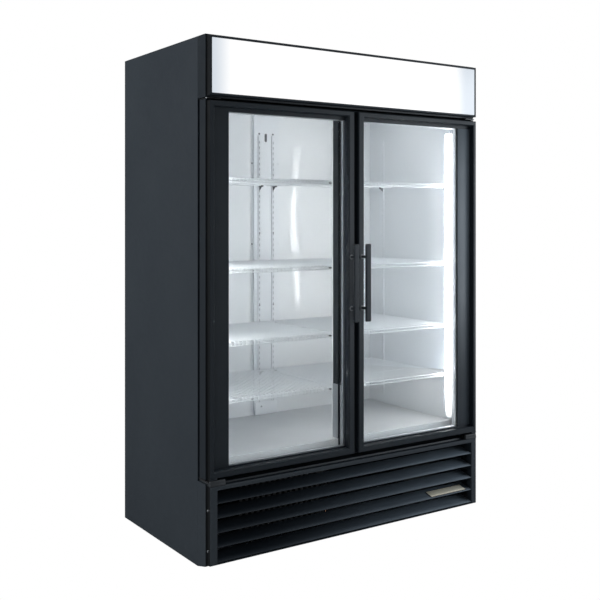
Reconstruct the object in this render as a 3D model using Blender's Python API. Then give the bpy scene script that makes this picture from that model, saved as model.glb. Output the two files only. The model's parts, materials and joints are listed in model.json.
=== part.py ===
"""Two-door glass merchandiser: an upright display refrigerator with a lit sign header.

Metres, +Z up.  The front faces -Y, X is centred, and the floor is z = 0.
The origin is at the bottom centre of the whole object, handles included.
"""
from math import cos, pi, radians, sin

import bmesh
import bpy
from mathutils import Matrix, Vector

# ---- Driving dimensions -------------------------------------------------------------
WIDTH = 1.375             # outside of one side panel to the other
HEIGHT = 1.997            # floor to the top panel
DEPTH = 0.765             # front of the doors to the back panel
HANDLE_REACH = 0.042      # how far the handles stand ahead of the doors
GAP = 0.0003              # clearance between pieces that touch

HALF = WIDTH / 2
FRONT = (HANDLE_REACH - DEPTH) / 2
BACK = FRONT + DEPTH

# Depths below are measured back from the plane of the door fronts.
LEDGE_DEPTH = 0.025       # the raised bead of doors, sign and grille stands this far proud
LEDGE_INSET = 0.006       # and this far in from the edge
SLAB_BACK = 0.072         # back of the door slabs
FACE_DEPTH = 0.088        # front face of the cabinet body, where the gaskets seal
FLANGE_BACK = 0.100
REAR_WALL_DEPTH = 0.7125  # face of the white back wall

SKIN = 0.003              # outer panels
LINER = 0.002
LINER_HALF = 0.635        # inside half width of the cabinet
FLOOR_TOP = 0.385
CEILING = 1.9427
FOAM_BOTTOM = 0.335       # underside of the insulated box
FLANGE_BOTTOM = 0.305     # the front flange hangs below the box, behind the grille's top rail
BASE_CLEARANCE = 0.004    # side panels stop this far above the floor

DOOR_BOTTOM = 0.341
DOOR_TOP = 1.7545
DOOR_CENTRE_GAP = 0.005   # each door slab stops this far short of the centre
HINGE_INSET = 0.022       # hinge axis in from the side
HINGE_DEPTH = 0.045       # hinge axis back from the door front
PIN_RADIUS = 0.005
BORE_RADIUS = 0.0062

SIGN_BOTTOM = 1.762
GRILLE_BOTTOM = 0.026
GRILLE_TOP = 0.324
GRILLE_STILE = 0.036      # width of the grille's end stiles, from the cabinet side
BLADES = 5
TOP_BLADE_Z = 0.254
BLADE_PITCH = 0.0545
BLADE_DEPTH = 0.070
BLADE_RISE = 0.019
BLADE_SHEET = 0.002

SHELF_HEIGHTS = (0.603, 0.828, 1.115, 1.473)
SHELF_FRONT = 0.150
SHELF_BACK = 0.690
SHELF_THICKNESS = 0.008
SHELF_INNER = 0.006       # shelf ends, from the centre
SHELF_OUTER = 0.624
SHELF_SLOTS = 9

HANDLE_LENGTH = 0.318
HANDLE_CENTRE_Z = 1.048
HANDLE_X = 0.031
HANDLE_WIDTH = 0.025
STANDOFF_X = 0.0275
STANDOFF_RADIUS = 0.006
STANDOFF_SPACING = 0.210

EVAPORATOR_FRONT = 0.250
EVAPORATOR_BACK = 0.700
EVAPORATOR_HALF = 0.500
EVAPORATOR_BOTTOM = 1.815
EVAPORATOR_FAN = (-0.220, 0.470)      # x, and depth
EVAPORATOR_FAN_RADIUS = 0.075

BASE_TOP = 0.036
BASE_BOTTOM = 0.030
CONDENSER_FAN = (-0.300, 0.262, 0.172)    # x, depth, z
CONDENSER_FAN_RADIUS = 0.095


def depth(value):
    """World y of a plane a given distance behind the door fronts."""
    return FRONT + value


# ---- Scene and materials ------------------------------------------------------------
def clear_scene():
    for obj in list(bpy.data.objects):
        bpy.data.objects.remove(obj, do_unlink=True)


def make_material(name, colour, roughness, metallic=0.0, transmission=0.0, emission=0.0):
    material = bpy.data.materials.new(name)
    material.use_nodes = True
    shader = material.node_tree.nodes["Principled BSDF"]
    shader.inputs["Base Color"].default_value = (*colour, 1.0)
    shader.inputs["Roughness"].default_value = roughness
    shader.inputs["Metallic"].default_value = metallic
    shader.inputs["Transmission Weight"].default_value = transmission
    shader.inputs["Emission Color"].default_value = (*colour, 1.0)
    shader.inputs["Emission Strength"].default_value = emission
    return material


def make_materials():
    return {
        "black": make_material("black_coated_steel", (0.016, 0.020, 0.025), 0.42),
        "trim": make_material("black_door_trim", (0.012, 0.014, 0.017), 0.35),
        "rubber": make_material("gasket_rubber", (0.010, 0.010, 0.011), 0.75),
        "white": make_material("white_liner", (0.82, 0.84, 0.85), 0.35),
        "steel": make_material("brushed_floor_steel", (0.55, 0.56, 0.57), 0.38, 1.0),
        "zinc": make_material("galvanised_steel", (0.50, 0.52, 0.54), 0.50, 1.0),
        "foam": make_material("insulation_foam", (0.72, 0.62, 0.38), 0.90),
        "glass": make_material("door_glass", (0.95, 0.98, 0.97), 0.03, transmission=1.0),
        "sign": make_material("sign_acrylic", (0.98, 0.99, 1.0), 0.30, emission=1.0),
        "lamp": make_material("lamp_diffuser", (1.0, 1.0, 1.0), 0.40, emission=2.0),
        "wire": make_material("coated_shelf_wire", (0.88, 0.89, 0.90), 0.35),
        "enamel": make_material("black_enamel", (0.02, 0.02, 0.02), 0.30),
        "fins": make_material("coil_fins", (0.62, 0.64, 0.66), 0.40, 1.0),
        "plastic": make_material("dark_plastic", (0.03, 0.03, 0.035), 0.55),
    }


# ---- Modelling helpers --------------------------------------------------------------
def finish_mesh(name, bm, material, centre, smooth=False):
    """Turn a bmesh in world coordinates into an object whose origin is at centre."""
    bmesh.ops.recalc_face_normals(bm, faces=bm.faces)
    bmesh.ops.translate(bm, verts=bm.verts, vec=-Vector(centre))
    mesh = bpy.data.meshes.new(name)
    bm.to_mesh(mesh)
    bm.free()
    mesh.materials.append(material)
    obj = bpy.data.objects.new(name, mesh)
    obj.location = centre
    bpy.context.scene.collection.objects.link(obj)
    if smooth:
        mesh.shade_smooth()
        mesh.set_sharp_from_angle(angle=radians(35))
    return obj


def add_bevel(obj, width, segments=2):
    bevel = obj.modifiers.new("edges", "BEVEL")
    bevel.width = width
    bevel.segments = segments
    bevel.limit_method = "ANGLE"
    bevel.angle_limit = radians(50)
    return obj


def box(name, low, high, material, bevel=0.0, segments=2):
    """A block between two corners."""
    low, high = Vector(low), Vector(high)
    size = high - low
    centre = (low + high) / 2
    bm = bmesh.new()
    bmesh.ops.create_cube(bm, size=1.0, matrix=Matrix.Translation(centre) @ Matrix.Diagonal((*size, 1.0)))
    obj = finish_mesh(name, bm, material, centre)
    if bevel:
        add_bevel(obj, bevel, segments)
    return obj


def prism(name, points, axis, start, end, material):
    """An outline extruded along X, Y or Z.  Points are the other two coordinates, in order."""
    place = {
        "X": lambda a, b, along: (along, a, b),
        "Y": lambda a, b, along: (a, along, b),
        "Z": lambda a, b, along: (a, b, along),
    }[axis]
    bm = bmesh.new()
    first = [bm.verts.new(place(a, b, start)) for a, b in points]
    last = [bm.verts.new(place(a, b, end)) for a, b in points]
    bm.faces.new(first)
    bm.faces.new(reversed(last))
    for i in range(len(points)):
        j = (i + 1) % len(points)
        bm.faces.new((first[i], first[j], last[j], last[i]))
    centre = sum((vert.co for vert in bm.verts), Vector()) / len(bm.verts)
    return finish_mesh(name, bm, material, centre)


def turned(name, profile, base, axis, material, segments=24):
    """A solid of revolution.  The profile is (radius, height) from bottom to top, off the axis."""
    turns = {"X": Matrix.Rotation(pi / 2, 4, "Y"), "Y": Matrix.Rotation(-pi / 2, 4, "X"), "Z": Matrix()}
    turn = turns[axis]
    bm = bmesh.new()
    rings = []
    for radius, height in profile:
        ring = []
        for i in range(segments):
            angle = 2 * pi * i / segments
            ring.append(bm.verts.new((radius * cos(angle), radius * sin(angle), height)))
        rings.append(ring)
    for lower, upper in zip(rings, rings[1:]):
        for i in range(segments):
            j = (i + 1) % segments
            bm.faces.new((lower[i], lower[j], upper[j], upper[i]))
    bm.faces.new(rings[0])
    bm.faces.new(rings[-1])
    bmesh.ops.transform(bm, matrix=Matrix.Translation(base) @ turn, verts=bm.verts)
    return finish_mesh(name, bm, material, base, smooth=True)


def swept_frame(name, outline, profile, material):
    """A rectangular frame with mitred corners.

    The outline is (left, right, bottom, top).  Each profile point is the insets from
    those four sides and a depth, and the points go once round the frame's section.
    """
    left, right, bottom, top = outline
    bm = bmesh.new()
    loops = []
    for (inset_left, inset_right, inset_bottom, inset_top), back in profile:
        y = depth(back)
        x0, x1 = left + inset_left, right - inset_right
        z0, z1 = bottom + inset_bottom, top - inset_top
        corners = ((x0, y, z0), (x1, y, z0), (x1, y, z1), (x0, y, z1))
        loops.append([bm.verts.new(corner) for corner in corners])
    for here, there in zip(loops, loops[1:] + loops[:1]):
        for i in range(4):
            j = (i + 1) % 4
            bm.faces.new((here[i], here[j], there[j], there[i]))
    centre = ((left + right) / 2, depth(profile[0][1]), (bottom + top) / 2)
    return finish_mesh(name, bm, material, centre)


def even(inset, back):
    """A profile point with the same inset on all four sides."""
    return (inset, inset, inset, inset), back


def as_guide(obj):
    """Hide a cutter or helper, which is no piece of the object."""
    obj.hide_render = True
    obj.display_type = "WIRE"
    return obj


def combine(target, helper, operation):
    as_guide(helper)
    boolean = target.modifiers.new(helper.name, "BOOLEAN")
    boolean.operation = operation
    boolean.solver = "EXACT"
    boolean.object = helper
    return target


def cut(target, helper):
    return combine(target, helper, "DIFFERENCE")


def join(target, helper):
    return combine(target, helper, "UNION")


def comb(name, low, high, fins, spine, material):
    """A block of upright fins, open to the front, that share a spine at the back."""
    x0, y0, z0 = low
    x1, y1, z1 = high
    pitch = (x1 - x0) / (2 * fins - 1)
    points = [(x0, y1), (x0, y0)]
    for i in range(fins - 1):
        left = x0 + (2 * i + 1) * pitch
        points += [(left, y0), (left, y1 - spine), (left + pitch, y1 - spine), (left + pitch, y0)]
    points += [(x1, y0), (x1, y1)]
    return prism(name, points, "Z", z0, z1, material)


def fan_blades(name, centre, axis, radius, blades, material):
    """A hub with pitched blades, turning about X, Y or Z through its centre."""
    hub_radius = radius * 0.30
    hub_half = 0.010
    blade_thickness = 0.003
    chord = radius * 0.62
    pitch = radians(24)
    profile = ((hub_radius, -hub_half), (hub_radius, hub_half * 0.6), (hub_radius * 0.8, hub_half))
    hub = turned(name, profile, centre, axis, material)
    bm = bmesh.new()
    for i in range(blades):
        length = radius - hub_radius * 0.8
        shape = Matrix.Diagonal((length, chord, blade_thickness, 1.0))
        out = Matrix.Translation((hub_radius * 0.8 + length / 2, 0, 0))
        spin = Matrix.Rotation(2 * pi * i / blades, 4, "Z")
        tilt = Matrix.Rotation(pitch, 4, "X")
        bmesh.ops.create_cube(bm, size=1.0, matrix=spin @ out @ tilt @ shape)
    turn = {"Y": Matrix.Rotation(-pi / 2, 4, "X"), "Z": Matrix()}[axis]
    bmesh.ops.transform(bm, matrix=Matrix.Translation(centre) @ turn, verts=bm.verts)
    helper = finish_mesh(name + "_vanes", bm, material, centre)
    return join(hub, helper)


# ---- Cabinet ------------------------------------------------------------------------
def build_panels(mats):
    """The black outer skin: two sides, top and back."""
    body_top = HEIGHT - SKIN - GAP
    for name, side in (("left_side_panel", -1), ("right_side_panel", 1)):
        x0, x1 = sorted((side * HALF, side * (HALF - SKIN)))
        box(name, (x0, depth(FACE_DEPTH), BASE_CLEARANCE), (x1, BACK, body_top), mats["black"])
    box("top_panel", (-HALF, depth(FACE_DEPTH), HEIGHT - SKIN), (HALF, BACK, HEIGHT), mats["black"])
    inside = HALF - SKIN - GAP
    box("back_panel", (-inside, BACK - LINER, FOAM_BOTTOM), (inside, BACK, body_top), mats["zinc"])


def build_insulation(mats):
    """Foam slabs between the skin and the liner."""
    foam_front = depth(FLANGE_BACK) + GAP
    foam_outer = HALF - SKIN - GAP
    foam_inner = LINER_HALF + LINER + GAP
    foam_back = BACK - LINER - GAP
    foam_top = HEIGHT - SKIN - GAP
    rear_front = depth(REAR_WALL_DEPTH) + LINER + GAP
    between = foam_inner - GAP
    for name, side in (("left_wall_foam", -1), ("right_wall_foam", 1)):
        x0, x1 = sorted((side * foam_outer, side * foam_inner))
        box(name, (x0, foam_front, FOAM_BOTTOM), (x1, foam_back, foam_top), mats["foam"])
    box("rear_wall_foam", (-between, rear_front, FOAM_BOTTOM), (between, foam_back, foam_top), mats["foam"])
    ceiling_low = CEILING + LINER + GAP
    slab_back = rear_front - GAP
    box("ceiling_foam", (-between, foam_front, ceiling_low), (between, slab_back, foam_top), mats["foam"])
    floor_high = FLOOR_TOP - 2 * LINER - 2 * GAP
    box("floor_foam", (-between, foam_front, FOAM_BOTTOM), (between, slab_back, floor_high), mats["foam"])


def build_liner(mats):
    """The white tub inside, open to the front, and the steel floor laid in it."""
    front = depth(FLANGE_BACK) + GAP
    rear = depth(REAR_WALL_DEPTH)
    floor = FLOOR_TOP - LINER - GAP
    outer = LINER_HALF + LINER
    low, high = (-outer, front, floor - LINER), (outer, rear + LINER, CEILING + LINER)
    liner = box("white_liner", low, high, mats["white"])
    low, high = (-LINER_HALF, front - 0.05, floor), (LINER_HALF, rear, CEILING)
    hollow = box("liner_hollow", low, high, mats["white"])
    cut(liner, hollow)
    clear = LINER_HALF - GAP
    box("interior_floor", (-clear, front, floor + GAP), (clear, rear - GAP, FLOOR_TOP), mats["steel"])


def build_front_flange(mats):
    """The black face of the cabinet round the opening, and the post between the doors."""
    opening_side = 0.054
    opening_bottom = 0.088
    opening_top = 0.270
    outline = (-HALF + SKIN + GAP, HALF - SKIN - GAP, FLANGE_BOTTOM, HEIGHT - SKIN - GAP)
    inner = (opening_side, opening_side, opening_bottom, opening_top)
    none = (0, 0, 0, 0)
    profile = ((none, FLANGE_BACK), (none, FACE_DEPTH), (inner, FACE_DEPTH), (inner, FLANGE_BACK))
    swept_frame("front_flange", outline, profile, mats["trim"])

    post_half = 0.030
    post_back = 0.126
    bottom = FLANGE_BOTTOM + opening_bottom + GAP
    top = outline[3] - opening_top - GAP
    low, high = (-post_half, depth(FACE_DEPTH), bottom), (post_half, depth(post_back), top)
    add_bevel(box("centre_mullion", low, high, mats["trim"]), 0.003)
    cover_half, cover_thickness, end_gap = 0.027, 0.014, 0.030
    low = (-cover_half, depth(post_back) + GAP, bottom + end_gap)
    high = (cover_half, depth(post_back) + cover_thickness, top - end_gap)
    add_bevel(box("mullion_cover", low, high, mats["white"]), 0.004)


# ---- Sign header --------------------------------------------------------------------
def build_header(mats):
    lip = 0.015
    hem = 0.0025
    panel_front = 0.003
    panel_back = 0.006
    back = FACE_DEPTH - GAP
    outline = (-HALF, HALF, SIGN_BOTTOM, HEIGHT)
    profile = (
        even(0, back),
        even(0, LEDGE_DEPTH + 0.002),
        even(LEDGE_INSET, LEDGE_DEPTH),
        even(LEDGE_INSET, 0.003),
        even(LEDGE_INSET + 0.003, 0),
        even(lip - 0.002, 0),
        even(lip, 0.002),
        even(lip, panel_back + GAP),
        even(LEDGE_INSET + hem, panel_back + GAP),
        even(LEDGE_INSET + hem, LEDGE_DEPTH + 0.002),
        even(hem, LEDGE_DEPTH + 0.005),
        even(hem, back),
    )
    swept_frame("header_frame", outline, profile, mats["trim"])
    inset = lip + GAP
    low = (-HALF + inset, depth(panel_front), SIGN_BOTTOM + inset)
    high = (HALF - inset, depth(panel_back), HEIGHT - inset)
    box("sign_panel", low, high, mats["sign"])
    middle = (SIGN_BOTTOM + HEIGHT) / 2
    lamp_low = (-HALF + 0.060, depth(0.066), middle - 0.014)
    lamp_high = (HALF - 0.060, depth(back) - GAP, middle + 0.014)
    add_bevel(box("header_lamp", lamp_low, lamp_high, mats["lamp"]), 0.005)


# ---- Grille -------------------------------------------------------------------------
def build_grille(mats):
    back = FACE_DEPTH - GAP
    slope = GRILLE_BOTTOM - BASE_CLEARANCE
    stile, rail, sill = GRILLE_STILE, 0.021, 0.004
    outline = (-HALF, HALF, GRILLE_BOTTOM, GRILLE_TOP)
    shelf_back = 0.030
    profile = (
        ((0, 0, -slope, 0), back),
        ((0, 0, -slope * 0.3, 0), LEDGE_DEPTH + 0.002),
        ((LEDGE_INSET, LEDGE_INSET, 0, LEDGE_INSET), LEDGE_DEPTH),
        ((LEDGE_INSET, LEDGE_INSET, 0, LEDGE_INSET), 0.003),
        ((LEDGE_INSET + 0.003, LEDGE_INSET + 0.003, 0.002, LEDGE_INSET + 0.003), 0),
        ((stile, stile, sill, rail), 0),
        ((stile, stile, sill, rail), shelf_back),
        ((0.010, 0.010, 0.004, 0.012), shelf_back + 0.003),
        ((0.003, 0.003, -slope + 0.003, 0.003), back),
    )
    swept_frame("grille_frame", outline, profile, mats["black"])
    for number in range(BLADES):
        build_blade(f"grille_blade_{number + 1}", TOP_BLADE_Z - number * BLADE_PITCH, mats["black"])


def build_blade(name, z, material):
    """A flat slat with a blunt nose that rises from front to back."""
    front = depth(0.002)
    back = front + BLADE_DEPTH
    nose = BLADE_SHEET / 4
    points = (
        (front, z - BLADE_SHEET + nose),
        (front, z - nose),
        (front + nose, z),
        (back, z + BLADE_RISE),
        (back, z + BLADE_RISE - BLADE_SHEET),
        (front + nose, z - BLADE_SHEET),
    )
    reach = HALF - GRILLE_STILE - GAP
    return prism(name, points, "X", -reach, reach, material)


# ---- Doors --------------------------------------------------------------------------
def door_profile(hinge_left):
    """The section of a door frame: slab, raised bead, flat border and glass rebate."""
    bead_widths = {"hinge": 0.024, "latch": 0.034, "bottom": 0.031, "top": 0.026}
    borders = {"hinge": 0.099, "latch": 0.036, "bottom": 0.037, "top": 0.041}
    rebate = 0.010
    round_off = 0.003

    def insets(widths, less):
        sides = ("hinge", "latch") if hinge_left else ("latch", "hinge")
        return tuple(widths[side] - less for side in (*sides, "bottom", "top"))

    lip_front = LEDGE_DEPTH + 0.0005
    lip_back = 0.030
    return (
        even(0, SLAB_BACK),
        even(0, LEDGE_DEPTH + 0.002),
        even(LEDGE_INSET, LEDGE_DEPTH),
        even(LEDGE_INSET, round_off),
        even(LEDGE_INSET + round_off, 0),
        (insets(bead_widths, round_off), 0),
        (insets(bead_widths, 0), round_off),
        (insets(bead_widths, 0), lip_front),
        (insets(borders, 0), lip_front),
        (insets(borders, 0), lip_back),
        (insets(borders, rebate), lip_back),
        (insets(borders, rebate), SLAB_BACK),
    )


def door_outline(side):
    near, far = side * DOOR_CENTRE_GAP, side * HALF
    return (min(near, far), max(near, far), DOOR_BOTTOM, DOOR_TOP)


def build_door(word, side, mats):
    hinge_left = side < 0
    outline = door_outline(side)
    profile = door_profile(hinge_left)
    frame = swept_frame(f"{word}_door_frame", outline, profile, mats["trim"])
    hinge_x = side * (HALF - HINGE_INSET)
    bore_length = 0.019
    bore = ((BORE_RADIUS, -bore_length), (BORE_RADIUS, bore_length))
    for end, z in (("top", DOOR_TOP), ("bottom", DOOR_BOTTOM)):
        centre = (hinge_x, depth(HINGE_DEPTH), z)
        cut(frame, turned(f"{word}_{end}_bore", bore, centre, "Z", mats["trim"]))

    rebate_insets, rebate_front = profile[-2]
    glass_back = 0.052
    left, right = outline[0] + rebate_insets[0] + GAP, outline[1] - rebate_insets[1] - GAP
    bottom, top = DOOR_BOTTOM + rebate_insets[2] + GAP, DOOR_TOP - rebate_insets[3] - GAP
    low = (left, depth(rebate_front) + GAP, bottom)
    high = (right, depth(glass_back), top)
    box(f"{word}_glass_pack", low, high, mats["glass"])

    build_gasket(word, outline, hinge_left, mats["rubber"])
    build_handle(word, side, mats["trim"])


def build_gasket(word, outline, hinge_left, material):
    """The magnetic seal on the back of the door, in from the hinge axis so that it swings clear."""
    hinge_inset, edge_inset, seal = 0.024, 0.004, 0.013
    front, back = SLAB_BACK + GAP, FACE_DEPTH - GAP

    def sides(extra):
        pair = (hinge_inset, edge_inset) if hinge_left else (edge_inset, hinge_inset)
        return (pair[0] + extra, pair[1] + extra, edge_inset + extra, edge_inset + extra)

    profile = ((sides(0), front), (sides(seal), front), (sides(seal), back), (sides(0), back))
    return swept_frame(f"{word}_door_gasket", outline, profile, material)


def build_handle(word, side, material):
    """A flat upright pull bar on two stand-offs."""
    bar_thickness = 0.012
    front = depth(-HANDLE_REACH)
    middle = side * HANDLE_X
    low = (middle - HANDLE_WIDTH / 2, front, HANDLE_CENTRE_Z - HANDLE_LENGTH / 2)
    high = (middle + HANDLE_WIDTH / 2, front + bar_thickness, HANDLE_CENTRE_Z + HANDLE_LENGTH / 2)
    bar = add_bevel(box(f"{word}_handle", low, high, material), 0.004, 3)
    for end, offset in (("lower", -STANDOFF_SPACING / 2), ("upper", STANDOFF_SPACING / 2)):
        start = (side * STANDOFF_X, front + bar_thickness / 2, HANDLE_CENTRE_Z + offset)
        length = depth(0) - GAP - start[1]
        shape = ((STANDOFF_RADIUS, 0), (STANDOFF_RADIUS, length))
        join(bar, turned(f"{word}_{end}_standoff", shape, start, "Y", material, 16))
    return bar


def build_hinges(word, side, mats):
    """Top and bottom hinge plates, each with its pin."""
    near, far = side * (HALF - 0.060), side * (HALF - 0.004)
    x0, x1 = min(near, far), max(near, far)
    front, back = depth(0.014), depth(FACE_DEPTH) - GAP
    axis = (side * (HALF - HINGE_INSET), depth(HINGE_DEPTH))
    engage = 0.016
    plates = (
        ("top", DOOR_TOP + 0.0012, DOOR_TOP + 0.0066, -1),
        ("bottom", DOOR_BOTTOM - 0.0105, DOOR_BOTTOM - 0.0035, 1),
    )
    for end, z0, z1, way in plates:
        plate = box(f"{word}_{end}_hinge", (x0, front, z0), (x1, back, z1), mats["enamel"], 0.0015, 1)
        pin_start = (z0 + z1) / 2
        pin_end = DOOR_TOP - engage if way < 0 else DOOR_BOTTOM + engage
        pin = tuple((PIN_RADIUS, height) for height in sorted((0, pin_end - pin_start)))
        join(plate, turned(f"{word}_{end}_pin", pin, (*axis, pin_start), "Z", mats["zinc"], 20))


# ---- Shelves ------------------------------------------------------------------------
def build_shelf(name, side, z, material):
    """A shelf as a slotted plate: rails front and back, and bars that run between them."""
    near, far = side * SHELF_INNER, side * SHELF_OUTER
    x0, x1 = min(near, far), max(near, far)
    end_rail, front_rail = 0.020, 0.020
    bar = 0.012
    slot = (x1 - x0 - 2 * end_rail - (SHELF_SLOTS - 1) * bar) / SHELF_SLOTS
    xs = [x0]
    for i in range(SHELF_SLOTS):
        start = x0 + end_rail + i * (slot + bar)
        xs += [start, start + slot]
    xs.append(x1)
    y0, y1 = depth(SHELF_FRONT), depth(SHELF_BACK)
    ys = (y0, y0 + front_rail, y1 - front_rail, y1)
    bm = bmesh.new()
    grid = [[bm.verts.new((x, y, z - SHELF_THICKNESS)) for y in ys] for x in xs]
    for i in range(len(xs) - 1):
        for j in range(len(ys) - 1):
            if j == 1 and i % 2 == 1:
                continue
            bm.faces.new((grid[i][j], grid[i + 1][j], grid[i + 1][j + 1], grid[i][j + 1]))
    raised = bmesh.ops.extrude_face_region(bm, geom=list(bm.faces))
    top = [item for item in raised["geom"] if isinstance(item, bmesh.types.BMVert)]
    bmesh.ops.translate(bm, verts=top, vec=(0, 0, SHELF_THICKNESS))
    return finish_mesh(name, bm, material, ((x0 + x1) / 2, (y0 + y1) / 2, z))


def build_shelves(mats):
    for word, side in (("left", -1), ("right", 1)):
        for number, z in enumerate(SHELF_HEIGHTS, start=1):
            build_shelf(f"{word}_shelf_{number}", side, z, mats["wire"])


# ---- Cooling unit inside ------------------------------------------------------------
def build_evaporator(mats):
    y0, y1 = depth(EVAPORATOR_FRONT), depth(EVAPORATOR_BACK)
    wall = 0.002
    top = CEILING - GAP
    half = EVAPORATOR_HALF
    cover = box("evaporator_cover", (-half, y0, EVAPORATOR_BOTTOM), (half, y1, top), mats["white"])
    hollow_low = (-half + wall, y0 + wall, EVAPORATOR_BOTTOM + wall)
    cut(cover, box("cover_hollow", hollow_low, (half - wall, y1 - wall, top + 0.01), mats["white"]))
    fan_x, fan_depth = EVAPORATOR_FAN
    mouth_radius = EVAPORATOR_FAN_RADIUS + 0.008
    mouth = ((mouth_radius, -0.02), (mouth_radius, 0.02))
    mouth_centre = (fan_x, depth(fan_depth), EVAPORATOR_BOTTOM)
    cut(cover, turned("cover_mouth", mouth, mouth_centre, "Z", mats["white"], 32))
    fan_centre = (fan_x, depth(fan_depth), EVAPORATOR_BOTTOM + 0.030)
    fan_blades("evaporator_fan", fan_centre, "Z", EVAPORATOR_FAN_RADIUS, 5, mats["plastic"])
    coil_low = (-0.080, y0 + 0.060, EVAPORATOR_BOTTOM + 0.012)
    coil_high = (0.440, y1 - 0.060, top - 0.012)
    comb("evaporator_coil", coil_low, coil_high, 14, 0.030, mats["fins"])


def build_controls(mats):
    """The thermostat knob and the rocker switch for the lamps, on the front of the cover."""
    face = depth(EVAPORATOR_FRONT) - GAP
    z = (EVAPORATOR_BOTTOM + CEILING) / 2
    knob_profile = ((0.018, 0), (0.018, 0.004), (0.015, 0.006), (0.014, 0.020), (0.012, 0.022))
    knob_start = (0.420, face, z)
    knob = turned("thermostat_knob", knob_profile, knob_start, "Y", mats["plastic"])
    knob.data.transform(Matrix.Rotation(pi, 4, "X"))
    ridge_low = (knob_start[0] - 0.0025, face - 0.025, z - 0.013)
    ridge_high = (knob_start[0] + 0.0025, face - 0.010, z + 0.013)
    join(knob, box("knob_ridge", ridge_low, ridge_high, mats["plastic"]))

    tilt = radians(8)
    half_height, half_width = 0.011, 0.007
    pivot = Vector((0, face - 0.0045, z))
    heel, toe, waist = 0.0022, -0.0030, -0.0015
    section = ((heel, -half_height), (toe, -half_height), (waist, 0), (toe, half_height), (heel, half_height))
    points = []
    for back, up in section:
        turned_point = Matrix.Rotation(tilt, 2) @ Vector((back, up))
        points.append((pivot.y + turned_point.x, pivot.z + turned_point.y))
    switch_x = 0.340
    prism("light_switch", points, "X", switch_x - half_width, switch_x + half_width, mats["plastic"])


# ---- Machine compartment ------------------------------------------------------------
def build_base(mats):
    """The base pan and the four levelling feet under it."""
    inside = HALF - SKIN - GAP
    low, high = (-inside, depth(FLANGE_BACK), BASE_BOTTOM), (inside, BACK - LINER, BASE_TOP)
    box("base_pan", low, high, mats["zinc"])
    foot = ((0.021, 0), (0.021, 0.006), (0.012, 0.010), (0.008, 0.012), (0.008, BASE_BOTTOM - GAP))
    foot_x = HALF - 0.050
    for word, x in (("left", -foot_x), ("right", foot_x)):
        for end, y in (("front", depth(0.150)), ("rear", BACK - 0.050)):
            turned(f"{word}_{end}_foot", foot, (x, y, 0), "Z", mats["zinc"], 16)


def build_condensing_unit(mats):
    fan_x, fan_depth, fan_z = CONDENSER_FAN
    floor = BASE_TOP + GAP
    coil_low = (fan_x - 0.190, depth(0.115), floor)
    coil_high = (fan_x + 0.190, depth(0.175), floor + 0.270)
    comb("condenser_coil", coil_low, coil_high, 15, 0.012, mats["fins"])

    half = 0.125
    shroud_front, shroud_back = depth(fan_depth) - 0.022, depth(fan_depth) + 0.026
    low = (fan_x - half, shroud_front, floor)
    high = (fan_x + half, shroud_back, floor + 2 * half + 0.020)
    shroud = box("condenser_fan_shroud", low, high, mats["enamel"])
    mouth_radius = CONDENSER_FAN_RADIUS + 0.008
    mouth = ((mouth_radius, -0.04), (mouth_radius, 0.04))
    mouth_centre = (fan_x, depth(fan_depth), fan_z)
    cut(shroud, turned("shroud_mouth", mouth, mouth_centre, "Y", mats["enamel"], 32))
    strut_low = (fan_x - half + 0.001, shroud_back - 0.005, fan_z - 0.012)
    strut_high = (fan_x + half - 0.001, shroud_back - 0.001, fan_z + 0.012)
    join(shroud, box("shroud_strut", strut_low, strut_high, mats["enamel"]))
    fan_blades("condenser_fan", mouth_centre, "Y", CONDENSER_FAN_RADIUS, 5, mats["plastic"])
    motor = ((0.034, 0), (0.038, 0.006), (0.038, 0.058), (0.030, 0.066))
    turned("condenser_fan_motor", motor, (fan_x, shroud_back + GAP, fan_z), "Y", mats["enamel"])

    centre = (0.100, depth(0.480), floor)
    shell = ((0.060, 0), (0.080, 0.015), (0.088, 0.060), (0.088, 0.130), (0.075, 0.170), (0.040, 0.190))
    turned("compressor", shell, centre, "Z", mats["enamel"], 28)
    low, high = (0.380, depth(0.150), floor), (0.600, depth(0.260), floor + 0.160)
    box("control_box", low, high, mats["zinc"], 0.003, 1)
    pan_low, pan_high = (-0.560, depth(0.420), floor), (-0.120, depth(0.700), floor + 0.045)
    pan = box("condensate_pan", pan_low, pan_high, mats["plastic"])
    hollow_low = (pan_low[0] + 0.003, pan_low[1] + 0.003, floor + 0.003)
    hollow_high = (pan_high[0] - 0.003, pan_high[1] - 0.003, pan_high[2] + 0.01)
    cut(pan, box("pan_hollow", hollow_low, hollow_high, mats["plastic"]))


def main():
    clear_scene()
    mats = make_materials()
    build_panels(mats)
    build_insulation(mats)
    build_liner(mats)
    build_front_flange(mats)
    build_header(mats)
    build_grille(mats)
    build_shelves(mats)
    build_evaporator(mats)
    build_controls(mats)
    build_base(mats)
    build_condensing_unit(mats)
    for word, side in (("left", -1), ("right", 1)):
        build_door(word, side, mats)
        build_hinges(word, side, mats)


main()
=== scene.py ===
"""Two-door glass merchandiser: finishes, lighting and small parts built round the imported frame.

Metres, in the frame of the CAD: the front faces -Y, X is centred, and the floor is z = 0.
"""
import json
import math

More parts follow.
